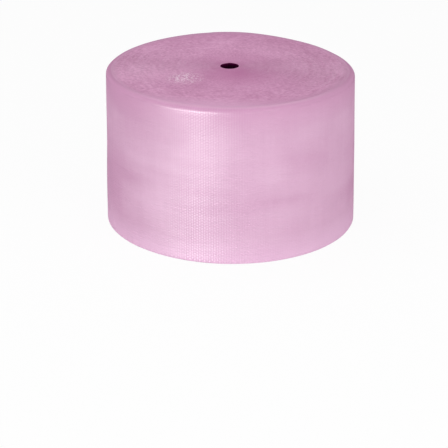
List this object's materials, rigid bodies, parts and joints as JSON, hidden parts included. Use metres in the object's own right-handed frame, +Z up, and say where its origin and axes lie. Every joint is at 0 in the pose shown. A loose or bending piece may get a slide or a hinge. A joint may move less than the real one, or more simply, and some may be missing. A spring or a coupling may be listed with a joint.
{
  "type": "bubble wrap roll",
  "caption": "Large coreless roll of small-bubble cushioning film, standing on its end, with a round hole through its middle.",
  "frame": {"origin": "centre of the hole at the roll's lower end face", "axes": "+Z up along the roll's axis, +X to the right and -Y to the front as the picture shows it"},
  "size_m": [0.9577, 0.9622, 0.6096],
  "materials": {
    "film": "pale pink polyethylene film, soft sheen over small air bubbles, darker and more matt on the cut edges"
  },
  "bodies": {
    "root": {"wound_film": "film"}
  },
  "joints": []
}
